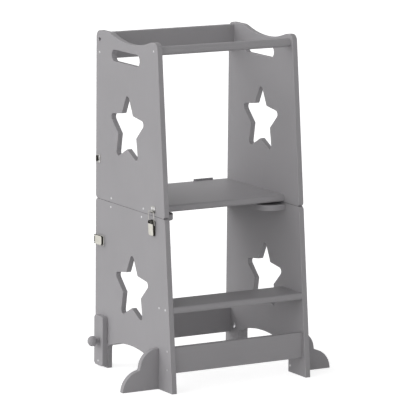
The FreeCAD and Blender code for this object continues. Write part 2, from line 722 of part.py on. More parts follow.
def turn_bar(side):
    left = side == LEFT
    body = new_body(f"turn_bar_{side}")
    half = ("bar_width / 2", "bar_length / 2")
    sketch = new_sketch(body, "side", "YZ_Plane")
    rectangle(sketch, (f"-{half[0]}", f"-{half[1]}"), half)
    pad(body, sketch, "rail_board")
    round_edges(body, "corners", "bar_round", lambda edge: runs_along(edge, 0))
    drill(body, "bolt", [("0", "0")], "bolt_radius + turning_gap", None, left, "rail_board")
    y, z = f"{REAR} - bar_back", "bar_up"
    place(body, "-(tower_width / 2 + bar_gap + rail_board)" if left else "tower_width / 2 + bar_gap",
          y, z)

    bore = "bolt_radius + turning_gap"
    knob = spun_body(f"knob_{side}",
                     [("0", bore), ("knob_bore", bore), ("knob_bore", "0"), ("knob_length", "0"),
                      ("knob_length", "knob_crown_radius"), ("knob_rim_end", "knob_radius"),
                      ("knob_neck_length", "knob_radius"), ("knob_neck_length", "knob_neck_radius"),
                      ("0", "knob_neck_radius")])
    outwards(side, knob, "tower_width / 2 + rail_board + 2 * bar_gap", y, z)
    nodes.append(knob)


def turn_bar_bolts():
    """Carriage bolts that the bars and knobs turn on, their heads inside the tower."""
    end = "panel_board + rail_board + 2 * bar_gap + knob_bore - side_gap"
    bolts = []
    for side in SIDES:
        bolt = spun_body(f"bolt_{side}",
                         [("-bolt_head_height", "0"), (end, "0"), (end, "bolt_radius"),
                          ("0", "bolt_radius"), ("0", "bolt_head_radius"),
                          ("-bolt_head_height", "bolt_head_radius")])
        outwards(side, bolt, INSIDE, f"{REAR} - bar_back", "bar_up")
        bolts.append(bolt)
    group = doc.addObject("Part::Compound", "turn_bar_bolts")
    group.Links = bolts
    group.Label = "turn_bar_bolts"
    nodes.append(group)


# ---------------------------------------------------------------------------------------------
# The whole tower
# ---------------------------------------------------------------------------------------------
for side in SIDES:
    lower_panel(side)
    upper_panel(side)
    cleat(side)
    foot(side)
    hinge(side)
    turn_bar(side)
    for where in ("front", "rear"):
        latch_base(side, where)
        latch_lever(side, where)
        latch_bail(side, where)
        latch_strike(side, where)
lower_boards()
upper_boards()
turn_bar_bolts()

doc.recompute()
for thing in doc.Objects:
    if "Invalid" in thing.State or "Error" in thing.State:
        raise RuntimeError(f"{thing.Name} failed: {thing.State}")
for node in nodes:
    if node.Shape.isNull() or not node.Shape.isValid():
        raise RuntimeError(f"{node.Label} has no valid shape")

os.makedirs("parts", exist_ok=True)
for node in nodes:
    node.Shape.exportStep(f"parts/{node.Label}.step")
print(f"{len(nodes)} sub-parts written")
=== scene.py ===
import json
import math

import bmesh
import bpy
from mathutils import Matrix, Vector
from mathutils.geometry import tessellate_polygon


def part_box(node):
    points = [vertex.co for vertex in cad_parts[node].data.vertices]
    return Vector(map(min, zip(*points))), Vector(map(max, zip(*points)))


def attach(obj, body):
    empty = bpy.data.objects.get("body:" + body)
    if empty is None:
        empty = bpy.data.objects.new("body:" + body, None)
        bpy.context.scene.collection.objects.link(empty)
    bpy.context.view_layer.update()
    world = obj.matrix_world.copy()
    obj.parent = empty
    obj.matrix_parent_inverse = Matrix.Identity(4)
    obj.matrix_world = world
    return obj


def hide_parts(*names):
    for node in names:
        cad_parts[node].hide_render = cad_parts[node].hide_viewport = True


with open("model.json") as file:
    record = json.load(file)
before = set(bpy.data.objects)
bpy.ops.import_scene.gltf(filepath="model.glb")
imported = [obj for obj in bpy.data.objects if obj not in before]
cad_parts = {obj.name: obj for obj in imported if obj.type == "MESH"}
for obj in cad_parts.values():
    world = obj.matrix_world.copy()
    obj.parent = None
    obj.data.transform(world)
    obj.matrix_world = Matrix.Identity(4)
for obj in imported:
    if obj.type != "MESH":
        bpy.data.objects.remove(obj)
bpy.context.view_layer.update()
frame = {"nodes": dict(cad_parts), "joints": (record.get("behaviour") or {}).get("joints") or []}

# Toddler kitchen helper: a grey painted tower in two halves. Everything is in metres, in the CAD
# frame: +X to the right, +Y to the rear, +Z up.

MM = 0.001
SIDES = {"left": -1, "right": 1}
NODES = frame["nodes"]
JOINTS = {joint["name"]: joint for joint in frame["joints"]}
X, Y, Z = 0, 1, 2
AXES = (Vector((1, 0, 0)), Vector((0, 1, 0)), Vector((0, 0, 1)))
scene = bpy.context.scene

PAINT = (0.386, 0.376, 0.390)
# Painted shade in the joint between two boards, where the gap keeps light out: how far it darkens the
# paint, and how wide
JOINT_PAINTED_SHADE = 0.85
JOINT_SHADE_WIDTH = 0.9 * MM

# Light from wide lobes, each (direction it comes from, strength), and the floor's own white
LIGHT_LOBES = (((-1, 0, 0), 2.2), ((-1, 1, 1), 1.42), ((0, -1, 0), 1.32), ((1, 0, 0), 0.5),
               ((0, 1, 0), 0.45))
LOBE_POWER = 3.0
FLOOR_GLOW = 0.75
FLOOR_REACH = 40.0

# The photograph's camera
PHOTO_PIXELS = 416
FOCAL_PIXELS = 3378.9
SENSOR_WIDTH = 36.0
CAMERA_PLACE = (-4.4467921, -7.5533473, 2.0212664)
CAMERA_YAW, CAMERA_PITCH, CAMERA_ROLL = 0.5336240, -0.1787456, 0.0098690


# ---------------------------------------------------------------------------------------------
# Materials
# ---------------------------------------------------------------------------------------------
class Nodes:
    """Short calls for building a material's node tree."""

    def __init__(self, name):
        self.material = bpy.data.materials.new(name)
        self.material.use_nodes = True
        self.tree = self.material.node_tree
        self.shader = self.tree.nodes["Principled BSDF"]
        self.output = self.tree.nodes["Material Output"]

    def add(self, kind, **settings):
        node = self.tree.nodes.new(kind)
        for key, value in settings.items():
            setattr(node, key, value)
        return node

    def link(self, source, target):
        self.tree.links.new(source, target)

    def coordinates(self, scale):
        place = self.add("ShaderNodeTexCoord")
        mapping = self.add("ShaderNodeMapping")
        mapping.inputs["Scale"].default_value = scale
        self.link(place.outputs["Object"], mapping.inputs["Vector"])
        return mapping.outputs["Vector"]

    def noise(self, vector, scale, detail=3.0, roughness=0.5):
        node = self.add("ShaderNodeTexNoise")
        node.inputs["Scale"].default_value = scale
        node.inputs["Detail"].default_value = detail
        node.inputs["Roughness"].default_value = roughness
        self.link(vector, node.inputs["Vector"])
        return node.outputs["Fac"]

    def spread(self, value, low, high, start=0.3, stop=0.7):
        node = self.add("ShaderNodeMapRange")
        limits = {"From Min": start, "From Max": stop, "To Min": low, "To Max": high}
        for name, number in limits.items():
            node.inputs[name].default_value = number
        self.link(value, node.inputs["Value"])
        return node.outputs["Result"]

    def math(self, operation, first, second):
        node = self.add("ShaderNodeMath", operation=operation)
        for socket, value in zip(node.inputs, (first, second)):
            if isinstance(value, (int, float)):
                socket.default_value = value
            else:
                self.link(value, socket)
        return node.outputs["Value"]

    def tint(self, colour, factor):
        """A colour times a grey value."""
        node = self.add("ShaderNodeVectorMath", operation="SCALE")
        node.inputs[0].default_value = colour
        self.link(factor, node.inputs["Scale"])
        return node.outputs["Vector"]

    def bump(self, height, strength, distance, normal=None):
        node = self.add("ShaderNodeBump")
        node.inputs["Strength"].default_value = strength
        node.inputs["Distance"].default_value = distance
        self.link(height, node.inputs["Height"])
        if normal is not None:
            self.link(normal, node.inputs["Normal"])
        return node.outputs["Normal"]


def painted_wood(name, grain):
    """Satin grey paint rolled over sanded board: the grain runs along one axis, 0 to 2, and only
    just shows. Paint is a little thinner and paler on the rounded edges, partly as wear and partly
    as a painted highlight, and a painted shade darkens it in a joint."""
    nodes = Nodes(name)
    stretch = [60.0, 60.0, 60.0]
    stretch[grain] = 3.0
    fibre = nodes.noise(nodes.coordinates(stretch), 9.0, 6.0, 0.6)
    wide = nodes.noise(nodes.coordinates((1, 1, 1)), 7.0, 3.0)
    roller = nodes.noise(nodes.coordinates((1, 1, 1)), 900.0, 2.0)
    edge = nodes.add("ShaderNodeAttribute", attribute_name="edge").outputs["Fac"]
    shade = nodes.math("MULTIPLY", nodes.spread(wide, 0.975, 1.02),
                       nodes.spread(fibre, 0.985, 1.01))
    # Rounded edges paler, partly as wear and partly as a painted highlight where they catch the light
    wear_and_highlight = nodes.math("MULTIPLY", edge, nodes.spread(wide, 0.1, 0.22))
    shade = nodes.math("ADD", shade, wear_and_highlight)
    # Painted shade: the paint darkens along the joint between two boards, where the gap keeps light
    # out
    joint = nodes.add("ShaderNodeAttribute", attribute_name="joint").outputs["Fac"]
    painted_joint_shade = nodes.math("SUBTRACT", 1.0, nodes.math("MULTIPLY", joint, JOINT_PAINTED_SHADE))
    shade = nodes.math("MULTIPLY", shade, painted_joint_shade)
    nodes.link(nodes.tint(PAINT, shade), nodes.shader.inputs["Base Color"])
    nodes.link(nodes.spread(roller, 0.5, 0.62), nodes.shader.inputs["Roughness"])
    nodes.shader.inputs["Specular IOR Level"].default_value = 0.3
    normal = nodes.bump(fibre, 0.08, 0.0004)
    nodes.link(nodes.bump(roller, 0.06, 0.0002, normal), nodes.shader.inputs["Normal"])
    return nodes.material


def metal(name, colour, roughness, brushed, scratch=0.08):
    """Plated steel, brushed along one axis, with fine scratches."""
    nodes = Nodes(name)
    stretch = [900.0, 900.0, 900.0]
    stretch[brushed] = 40.0
    lines = nodes.noise(nodes.coordinates(stretch), 1.0, 4.0, 0.6)
    cloud = nodes.noise(nodes.coordinates((1, 1, 1)), 160.0, 3.0)
    nodes.link(nodes.tint(colour, nodes.spread(cloud, 0.93, 1.05)),
               nodes.shader.inputs["Base Color"])
    nodes.shader.inputs["Metallic"].default_value = 1.0
    nodes.link(nodes.spread(lines, roughness - 0.06, roughness + 0.1),
               nodes.shader.inputs["Roughness"])
    nodes.link(nodes.bump(lines, scratch, 0.0001), nodes.shader.inputs["Normal"])
    return nodes.material


PAINTS = [painted_wood(f"grey_paint_{letter}", axis) for axis, letter in enumerate("xyz")]
NICKEL = metal("nickel_plate", (0.60, 0.585, 0.53), 0.34, 1)
WIRE = metal("nickel_wire", (0.52, 0.51, 0.48), 0.28, 2)
ZINC = metal("zinc_plate", (0.56, 0.56, 0.57), 0.38, 0)
PLATE = metal("satin_plate", (0.46, 0.455, 0.44), 0.42, 1)
SCREW = metal("screw_zinc", (0.86, 0.86, 0.87), 0.3, 1, 0.04)
# Near-black steel as painted shade and painted dark reflection on the latch flanges, base plates and
# strike hooks
SHADED = metal("painted_shade_steel", (0.075, 0.072, 0.062), 0.5, 1)
DARK = metal("black_oxide", (0.035, 0.035, 0.038), 0.45, 1, 0.04)


# ---------------------------------------------------------------------------------------------
# Outlines
# ---------------------------------------------------------------------------------------------
def plane_of(axis):
    """The two axes across an axis, in right-handed order."""
    return (axis + 1) % 3, (axis + 2) % 3


def face_loops(node, axis):
    """Outlines of the flat face at the high end of a CAD node, each with the board on its left,
    and the low and high ends."""
    u, v = plane_of(axis)
    mesh = bmesh.new()
    mesh.from_mesh(NODES[node].data)
    bmesh.ops.remove_doubles(mesh, verts=mesh.verts, dist=2e-6)
    low = min(vert.co[axis] for vert in mesh.verts)
    high = max(vert.co[axis] for vert in mesh.verts)
    # A dictionary, because the order of a set of faces changes from run to run
    flat = dict.fromkeys(face for face in mesh.faces
                         if all(high - vert.co[axis] < 1e-5 for vert in face.verts))
    following = {}
    for face in flat:
        for loop in face.loops:
            if sum(other in flat for other in loop.edge.link_faces) == 1:
                following[loop.vert] = loop.link_loop_next.vert
    loops = []
    while following:
        start, vert = next(iter(following.items()))
        ring = [start]
        del following[start]
        while vert is not start:
            ring.append(vert)
            vert = following.pop(vert)
        loops.append([Vector((vert.co[u], vert.co[v])) for vert in ring])
    mesh.free()
    return loops, low, high


def turn_at(before, here, after):
    first, second = here - before, after - here
    return math.atan2(first.x * second.y - first.y * second.x, first.dot(second))


def straightened(points):
    """The outline without the points that lie on a straight run."""
    kept = list(points)
    changed = True
    while changed and len(kept) > 3:
        changed = False
        for i in range(len(kept)):
            if abs(turn_at(kept[i - 1], kept[i], kept[(i + 1) % len(kept)])) < 2e-4:
                del kept[i]
                changed = True
                break
    return kept


def along_arc(start, stop, turn, steps):
    """Points between start and stop on the arc that turns by an angle."""
    run = stop - start
    left = Vector((-run.y, run.x)).normalized()
    radius = run.length / (2 * math.sin(turn / 2))
    centre = (start + stop) / 2 + left * radius * math.cos(turn / 2)
    arm = start - centre
    points = []
    for i in range(1, steps):
        angle = turn * i / steps
        points.append(centre + Vector((arm.x * math.cos(angle) - arm.y * math.sin(angle),
                                       arm.x * math.sin(angle) + arm.y * math.cos(angle))))
    return points


SHARP = math.radians(28)
FINEST_STEP = math.radians(3.5)
CORNER_STEP = math.radians(12)


def refined(points, corner):
    """The outline with its arcs in finer steps and its sharp corners rounded."""
    points = straightened(points)
    count = len(points)
    turns = [turn_at(points[i - 1], points[i], points[(i + 1) % count]) for i in range(count)]
    lengths = [(points[(i + 1) % count] - points[i]).length for i in range(count)]
    sharp = [abs(turn) > SHARP for turn in turns]
    result = []
    for i, point in enumerate(points):
        after = (i + 1) % count
        if sharp[i]:
            room = 0.45 * min(lengths[i - 1], lengths[i])
            trim = min(corner * math.tan(abs(turns[i]) / 2), room)
            start = point + (points[i - 1] - point).normalized() * trim
            stop = point + (points[after] - point).normalized() * trim
            steps = max(3, round(abs(turns[i]) / CORNER_STEP))
            result += [start, *along_arc(start, stop, turns[i], steps), stop]
        else:
            result.append(point)
        # A side belongs to an arc if one of its neighbours on that arc is as long as it is
        turn = 0.0
        if not sharp[i] and abs(lengths[i - 1] - lengths[i]) < 0.03 * lengths[i]:
            turn = turns[i]
        elif not sharp[after] and abs(lengths[after] - lengths[i]) < 0.03 * lengths[i]:
            turn = turns[after]
        if math.radians(0.3) < abs(turn) < SHARP and not sharp[i] and not sharp[after]:
            steps = max(1, math.ceil(abs(turn) / FINEST_STEP))
            result += along_arc(point, points[after], turn, steps)
    return result


def circle(centre, radius, count=40, clockwise=False):
    sign = -1 if clockwise else 1
    return [Vector((centre[0] + radius * math.cos(2 * math.pi * i / count),
                    centre[1] + sign * radius * math.sin(2 * math.pi * i / count)))
            for i in range(count)]


def rounded_rectangle(low, high, radius, clockwise=False):
    corners = [Vector(low), Vector((high[0], low[1])), Vector(high), Vector((low[0], high[1]))]
    points = refined(corners, radius)
    return points[::-1] if clockwise else points


def cross(half_length, half_width, clockwise=False):
    """Outline of a cross recess."""
    a, b = half_length, half_width
    corners = [(a, -b), (a, b), (b, b), (b, a), (-b, a), (-b, b),
               (-a, b), (-a, -b), (-b, -b), (-b, -a), (b, -a), (b, -b)]
    points = [Vector(corner) for corner in corners]
    return points[::-1] if clockwise else points


# ---------------------------------------------------------------------------------------------
# Slabs: boards, plates and screw heads with rounded edges
# ---------------------------------------------------------------------------------------------
class Slab:
    """Mesh of flat pieces with rounded edges. Each is drawn in its own frame (u, v, w), where w is
    the direction of its thickness."""

    def __init__(self):
        self.points, self.faces, self.normals, self.edges = [], [], [], []

    def add_ring(self, loop, inset, level, edge, matrix):
        """Adds a loop moved into the material by inset. Returns the numbers of its points."""
        first = len(self.points)
        count = len(loop)
        for i, point in enumerate(loop):
            one = (point - loop[i - 1]).normalized()
            two = (loop[(i + 1) % count] - point).normalized()
            inward = Vector((-one.y - two.y, one.x + two.x)) / (1 + one.dot(two))
            place = point + inward * inset
            self.points.append(matrix @ Vector((place.x, place.y, level)))
            self.edges.append(edge)
        return list(range(first, first + count))

    def outward(self, loop, turned):
        """Smooth outward directions in the model at the points of a loop."""
        result = []
        count = len(loop)
        for i, point in enumerate(loop):
            one, two = point - loop[i - 1], loop[(i + 1) % count] - point
            across = Vector((one.y + two.y, -one.x - two.x)).normalized()
            result.append((turned @ Vector((across.x, across.y, 0))).normalized())
        return result

    def bend(self, loop, out, level, sign, rounding, steps, matrix, wear_and_highlight):
        """Rings round the edge between the flat face at a level and the side, each with its
        normals. The flag marks the rings between for the paint, which pales them partly as wear and
        partly as a painted highlight."""
        up = (matrix.to_3x3() @ Vector((0, 0, sign))).normalized()
        result = []
        for k in range(steps + 1):
            angle = math.pi / 2 * k / steps
            ring = self.add_ring(loop, rounding * (1 - math.sin(angle)),
                                 level - sign * rounding * (1 - math.cos(angle)),
                                 math.sin(2 * angle) if wear_and_highlight and 0 < k < steps else 0.0, matrix)
            normals = [(up * math.cos(angle) + d * math.sin(angle)).normalized() for d in out]
            result.append((ring, normals))
        return result

    def strip(self, first, second, first_normals, second_normals):
        """Quads from one ring to the next one towards low w."""
        count = len(first)
        for i in range(count):
            j = (i + 1) % count
            self.faces.append((first[i], second[i], second[j], first[j]))
            self.normals.append((first_normals[i], second_normals[i],
                                 second_normals[j], first_normals[j]))

    def cap(self, rings, matrix, up):
        flat = [[self.points[i] for i in ring] for ring in rings]
        numbers = [i for ring in rings for i in ring]
        normal = (matrix.to_3x3() @ Vector((0, 0, 1 if up else -1))).normalized()
        for triangle in tessellate_polygon(flat):
            corners = [numbers[i] for i in triangle]
            a, b, c = (self.points[i] for i in corners)
            across = (b - a).cross(c - a)
            if across.length < 1e-13:
                continue
            if across.dot(normal) < 0:
                corners.reverse()
            self.faces.append(tuple(corners))
            self.normals.append((normal,) * 3)

    def add(self, loops, low, high, radius, matrix=Matrix(), pits=(), low_pits=(), steps=4):
        """Adds a slab from low to high with its loops, each with the material on its left. A pit is
        (loop, depth, rounding), a clockwise loop sunk into the high or low face."""
        turned = matrix.to_3x3()
        tops, bottoms = [], []
        for loop in loops:
            out = self.outward(loop, turned)
            reach = sum((loop[i] - loop[i - 1]).length for i in range(len(loop)))
            rounding = min(radius, reach / 40)
            top = self.bend(loop, out, high, 1, rounding, steps, matrix, True)
            bottom = self.bend(loop, out, low, -1, rounding, steps, matrix, True)
            order = top + bottom[::-1]
            for (first, a), (second, b) in zip(order, order[1:]):
                self.strip(first, second, a, b)
            tops.append(top[0][0])
            bottoms.append(bottom[0][0])
        for sunk, level, sign, caps in ((pits, high, 1, tops), (low_pits, low, -1, bottoms)):
            for loop, depth, rounding in sunk:
                out = self.outward(loop, turned)
                order = self.bend(loop, out, level, sign, rounding, 2, matrix, False)
                floor = self.add_ring(loop, 0, level - sign * depth, 0.0, matrix)
                order.append((floor, out))
                for (first, a), (second, b) in zip(order, order[1:]):
                    if sign > 0:
                        self.strip(first, second, a, b)
                    else:
                        self.strip(second, first, b, a)
                caps.append(order[0][0])
                self.cap([floor], matrix, sign > 0)
        self.cap(tops, matrix, True)
        self.cap(bottoms, matrix, False)

    def piece(self, name, material, body, slot, replaced=()):
        mesh = bpy.data.meshes.new(name)
        mesh.from_pydata(self.points, [], self.faces)
        mesh.shade_smooth()
        edge = mesh.attributes.new("edge", "FLOAT", "POINT")
        edge.data.foreach_set("value", self.edges)
        mesh.normals_split_custom_set([normal for corners in self.normals for normal in corners])
        return finished(bpy.data.objects.new(name, mesh), material, body, replaced)


def finished(thing, material, body, replaced=()):
    """Links a piece, gives it its material and lets it ride on its body."""
    scene.collection.objects.link(thing)
    thing.data.materials.append(material)
    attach(thing, body)
    if replaced:
        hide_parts(*replaced)
    return thing


def frame_on(axis):
    """Matrix from a slab's (u, v, w) to the model for a slab whose thickness is along an axis."""
    u, v = plane_of(axis)
    return Matrix((AXES[u], AXES[v], AXES[axis])).transposed().to_4x4()


def board(node, axis, grain, body, radius, corner, pits=(), low_pits=(), joint=None):
    """Wooden board that stands for a CAD node, with the node's outline and softened edges. joint is
    the height of an end that is butted to another board, where a painted shade darkens the paint."""
    loops, low, high = face_loops(node, axis)
    slab = Slab()
    slab.add([refined(loop, corner) for loop in loops], low, high, radius, frame_on(axis), pits,
             low_pits)
    thing = slab.piece(f"{node}_board", PAINTS[grain], body, "grey_paint", [node])
    # Painted shade: a mask that darkens the paint close to the butted end, where the gap between the
    # boards keeps light out
    if joint is not None:
        joint_shade_mask = thing.data.attributes.new("joint", "FLOAT", "POINT")
        joint_shade_mask.data.foreach_set("value", [max(0.0, 1 - abs(point.z - joint) / JOINT_SHADE_WIDTH)
                                        for point in slab.points])
    return thing


CLEAT_WIDTH = 66 * MM
CLEAT_ROUND = 40 * MM
CLEAT_THICKNESS = 15 * MM


def cleat(side, sign):
    """Flat batten under the platform with a rounded inner front corner. It is wider than the
    solid it stands for, as the photograph shows."""
    low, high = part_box(f"cleat_{side}")
    wall = high.x if sign > 0 else low.x
    inner = wall - sign * CLEAT_WIDTH
    corner = Vector((inner, low.y))
    start = corner + Vector((0, CLEAT_ROUND))
    stop = corner + Vector((sign * CLEAT_ROUND, 0))
    outline = [Vector((wall, low.y)), Vector((wall, high.y)), Vector((inner, high.y)),
               start, *along_arc(start, stop, sign * math.pi / 2, 20), stop]
    if sign < 0:
        outline.reverse()
    slab = Slab()
    slab.add([refined(outline, 1.5 * MM)], high.z - CLEAT_THICKNESS, high.z, 0.9 * MM, frame_on(Z))
    slab.piece(f"cleat_{side}_board", PAINTS[Y], "lower_frame", "grey_paint", [f"cleat_{side}"])


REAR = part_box("lower_panel_left")[1].y
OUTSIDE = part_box("lower_panel_right")[1].x

# Side panels. The rail bolts sit in bored holes near the rear edge
RAIL_BOLT = (REAR - 18.5 * MM, 876.6 * MM)
BOLT_HOLE_RADIUS, BOLT_HOLE_DEPTH = 4.9 * MM, 7 * MM
for side, sign in SIDES.items():
    hole = [(circle(RAIL_BOLT, BOLT_HOLE_RADIUS, 36, clockwise=True), BOLT_HOLE_DEPTH, 0.4 * MM)]
    board(f"lower_panel_{side}", X, Z, "lower_frame", radius=1.3 * MM, corner=1.8 * MM,
          joint=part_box(f"lower_panel_{side}")[1].z)
    board(f"upper_panel_{side}", X, Z, "upper_frame", radius=1.3 * MM, corner=1.8 * MM,
          pits=hole if sign > 0 else (), low_pits=hole if sign < 0 else (),
          joint=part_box(f"upper_panel_{side}")[0].z)
    cleat(side, sign)
    board(f"foot_{side}", Y, Z, "lower_frame", radius=1.5 * MM, corner=2.0 * MM)
    board(f"turn_bar_{side}", X, Z, f"turn_bar_{side}", radius=1.6 * MM, corner=2.0 * MM)

# Boards across the tower. Their ends are butted to the panels, so those edges stay nearly square
for node, body in (("step_board", "lower_frame"), ("lower_front_rail", "lower_frame"),
                   ("lower_rear_rail", "lower_frame"), ("hinge_rail", "lower_frame"),
                   ("platform_board", "upper_frame"), ("top_rear_rail", "upper_frame"),
                   ("front_dowel", "upper_frame")):
    board(node, X, X, body, radius=0.25 * MM, corner=1.6 * MM)


# ---------------------------------------------------------------------------------------------
# Turned pieces
# ---------------------------------------------------------------------------------------------
def smooth_profile(points, steps=5):
    """Points of a smooth line through the given ones."""
    result = []
    last = len(points) - 1
    for i in range(last):
        a, b, c, d = (Vector(points[min(max(i + k, 0), last)]) for k in (-1, 0, 1, 2))
        for step in range(steps):
            t = step / steps
            result.append(0.5 * (2 * b + (c - a) * t + (2 * a - 5 * b + 4 * c - d) * t * t
                                 + (3 * b - a - 3 * c + d) * t ** 3))
    result.append(Vector(points[-1]))
    return result


def turned(name, parts, material, body, slot, replaced=()):
    """Piece turned from (w, radius) points in millimetres, about the w axis of each part's
    matrix."""
    count = 56
    points, faces = [], []
    for profile, matrix in parts:
        rings = []
        for along, radius in profile:
            along, radius = along * MM, radius * MM
            if radius < 1e-7:
                rings.append([len(points)])
                points.append(matrix @ Vector((0, 0, along)))
                continue
            rings.append(list(range(len(points), len(points) + count)))
            points += [matrix @ Vector((radius * math.cos(2 * math.pi * i / count),
                                        radius * math.sin(2 * math.pi * i / count), along))
                       for i in range(count)]
        for first, second in zip(rings, rings[1:]):
            for i in range(count):
                j = (i + 1) % count
                if len(first) == 1:
                    faces.append((first[0], second[i], second[j]))
                elif len(second) == 1:
                    faces.append((first[i], second[0], first[j]))
                else:
                    faces.append((first[i], second[i], second[j], first[j]))
    mesh = bpy.data.meshes.new(name)
    mesh.from_pydata(points, [], faces)
    work = bmesh.new()
    work.from_mesh(mesh)
    bmesh.ops.recalc_face_normals(work, faces=work.faces)
    work.to_mesh(mesh)
    work.free()
    mesh.shade_smooth()
    mesh.set_sharp_from_angle(angle=math.radians(40))
    return finished(bpy.data.objects.new(name, mesh), material, body, replaced)


def facing(direction, origin):
    """Matrix whose w axis points along direction, from origin."""
    w = Vector(direction).normalized()
    u = AXES[Y] if abs(w.y) < 0.9 else AXES[Z]
    u = (u - w * u.dot(w)).normalized()
    matrix = Matrix((u, w.cross(u), w)).transposed().to_4x4()
    matrix.translation = origin
    return matrix


# Profiles in (w, radius), w along the axis from the foot
KNOB = [(0, 0), (0, 7.9), (0.4, 8.3), (1.4, 8.2), (3.0, 7.2), (5.2, 6.7), (7.2, 7.4), (9.0, 9.8),
        (10.8, 12.4), (12.8, 13.7), (15.4, 13.9), (18.6, 13.85), (21.6, 13.3), (24.4, 11.9),
        (26.8, 9.7), (28.6, 6.8), (29.6, 3.4), (29.95, 1.2), (30.0, 0)]
for side, sign in SIDES.items():
    pivot = Vector(JOINTS[f"turn_bar_{side}_swing"]["pos_m"])
    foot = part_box(f"knob_{side}")[0].x if sign > 0 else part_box(f"knob_{side}")[1].x
    matrix = facing((sign, 0, 0), (foot, pivot.y, pivot.z))
    shape = KNOB[:2] + smooth_profile(KNOB[1:-1])[1:] + KNOB[-1:]
    turned(f"knob_{side}_turned", [(shape, matrix)], PAINTS[X], f"knob_{side}", "grey_paint",
           [f"knob_{side}"])

# Carriage bolts with domed heads on the inner faces of the rear legs
BOLT = [(-3.2, 0), (-3.1, 2.4), (-2.7, 4.6), (-1.9, 6.4), (-0.9, 7.6), (-0.3, 8.0), (0, 7.9), (0, 3),
        (53.2, 3), (53.2, 0)]
BOLTS = []
for side, sign in SIDES.items():
    pivot = Vector(JOINTS[f"turn_bar_{side}_swing"]["pos_m"])
    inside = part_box(f"lower_panel_{side}")[0 if sign > 0 else 1].x
    BOLTS.append((BOLT, facing((sign, 0, 0), (inside, pivot.y, pivot.z))))
turned("turn_bar_bolts_domed", BOLTS, ZINC, "lower_frame", "screw_steel", ["turn_bar_bolts"])


# ---------------------------------------------------------------------------------------------
# Screws
# ---------------------------------------------------------------------------------------------
def screws(name, spots, body, material, radius=2.7, slot="screw_steel"):
    """Countersunk cross-head screws in one piece. A spot is (place, direction, turn in degrees)."""
    slab = Slab()
    for place, direction, turn in spots:
        matrix = facing(direction, place) @ Matrix.Rotation(math.radians(turn), 4, "Z")
        recess = cross(0.56 * radius * MM, 0.13 * radius * MM, clockwise=True)
        slab.add([circle((0, 0), radius * MM, 32)], -0.35 * MM, 0.15 * MM, 0.3 * MM, matrix,
                 pits=[(recess, 0.4 * MM, 0.04 * MM)], steps=3)
    return slab.piece(name, material, body, slot)


# (y from the rear edge, z, turn in degrees), in millimetres
UPPER_SCREWS = ((-85, 462.2, 20), (-257, 462.2, 65), (-18.5, 842.4, 5), (-305.5, 878, 40))
LOWER_SCREWS = ((-83.3, 438.5, 50), (-247.3, 438.5, 15), (-343, 214.8, 70), (-375, 214.8, 30),
                (-386.7, 108.3, 10), (-386.7, 59.3, 55), (-18.5, 68, 25), (-18.5, 102, 80))
FOOT_SCREWS = ((-335.3, 18, 35), (-335.3, 49, 75), (-335.3, 79, 10))
upper_spots, lower_spots = [], []
for side, sign in SIDES.items():
    out = Vector((sign, 0, 0))
    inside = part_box(f"lower_panel_{side}")[0 if sign > 0 else 1].x
    upper_spots += [((sign * OUTSIDE, REAR + y * MM, z * MM), out, turn)
                    for y, z, turn in UPPER_SCREWS]
    lower_spots += [((sign * OUTSIDE, REAR + y * MM, z * MM), out, turn)
                    for y, z, turn in LOWER_SCREWS]
    lower_spots += [((inside, REAR + y * MM, z * MM), -out, turn) for y, z, turn in FOOT_SCREWS]
    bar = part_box(f"turn_bar_{side}")
    spot = (bar[1].x if sign > 0 else bar[0].x, (bar[0].y + bar[1].y) / 2, bar[0].z + 13 * MM)
    screws(f"turn_bar_screw_{side}", [(spot, out, 30)], f"turn_bar_{side}", SCREW)
screws("upper_frame_screws", upper_spots, "upper_frame", SCREW)
screws("lower_frame_screws", lower_spots, "lower_frame", SCREW)

# Socket bolts that draw the top rear rail to the panels, and the caps over their nuts in the rail
sockets, caps = Slab(), Slab()
for side, sign in SIDES.items():
    matrix = facing((sign, 0, 0), (sign * OUTSIDE, RAIL_BOLT[0], RAIL_BOLT[1]))
    hexagon = circle((0, 0), 2.0 * MM, 6, clockwise=True)
    sockets.add([circle((0, 0), 4.4 * MM, 36)], -7.2 * MM, -3.2 * MM, 0.4 * MM, matrix,
                pits=[(hexagon, 2.4 * MM, 0.1 * MM)], steps=3)
    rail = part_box("top_rear_rail")
    matrix = facing((0, -1, 0), (sign * 180 * MM, rail[0].y, rail[1].z - 10 * MM))
    caps.add([circle((0, 0), 4.7 * MM, 40)], -0.5 * MM, 0.45 * MM, 0.35 * MM, matrix, steps=3)
sockets.piece("rail_bolts", DARK, "upper_frame", "screw_steel")
caps.piece("rail_caps", PLATE, "upper_frame", "zinc_steel")


# ---------------------------------------------------------------------------------------------
# Draw latches. In a latch's frame u is the pull towards the strike, v is across and w is away from
# the panel, with the origin on the panel under the lever's pin. A side view is drawn in (w, u)
# ---------------------------------------------------------------------------------------------
SHEET = 1.2
PIN_UP = 5.6
PIN_RADIUS = 1.5
PIN_BORE = 1.56
BASE_LENGTH, BASE_NOSE, BASE_HALF = 36, 5, 10.4
CURL_RADIUS, CURL_HALF = 2.9, 7.5
LEVER_LENGTH, LEVER_HALF = 38, 12.0
LEVER_UP, LEVER_FALL = 9.0, 2.4
FACE_START, FACE_END, FACE_HALF, FACE_ROUND = -4.6, -35.6, 11.95, 5.5
STRIKE_START, STRIKE_END, STRIKE_HALF = 24, 41, 11
HOOK_HALF = 8
BAIL_REACH, BAIL_HALF = 36, 13.4
BAIL_WIRE_RADIUS = 1.0


def latch_frame(side, where):
    away = Vector((SIDES[side], 0, 0))
    pull = AXES[Z] if where == "front" else AXES[Y]
    pin = Vector(JOINTS[f"{where}_lever_{side}_turn"]["pos_m"])
    matrix = Matrix((pull, away.cross(pull), away)).transposed().to_4x4()
    matrix.translation = pin - away * PIN_UP * MM
    return matrix


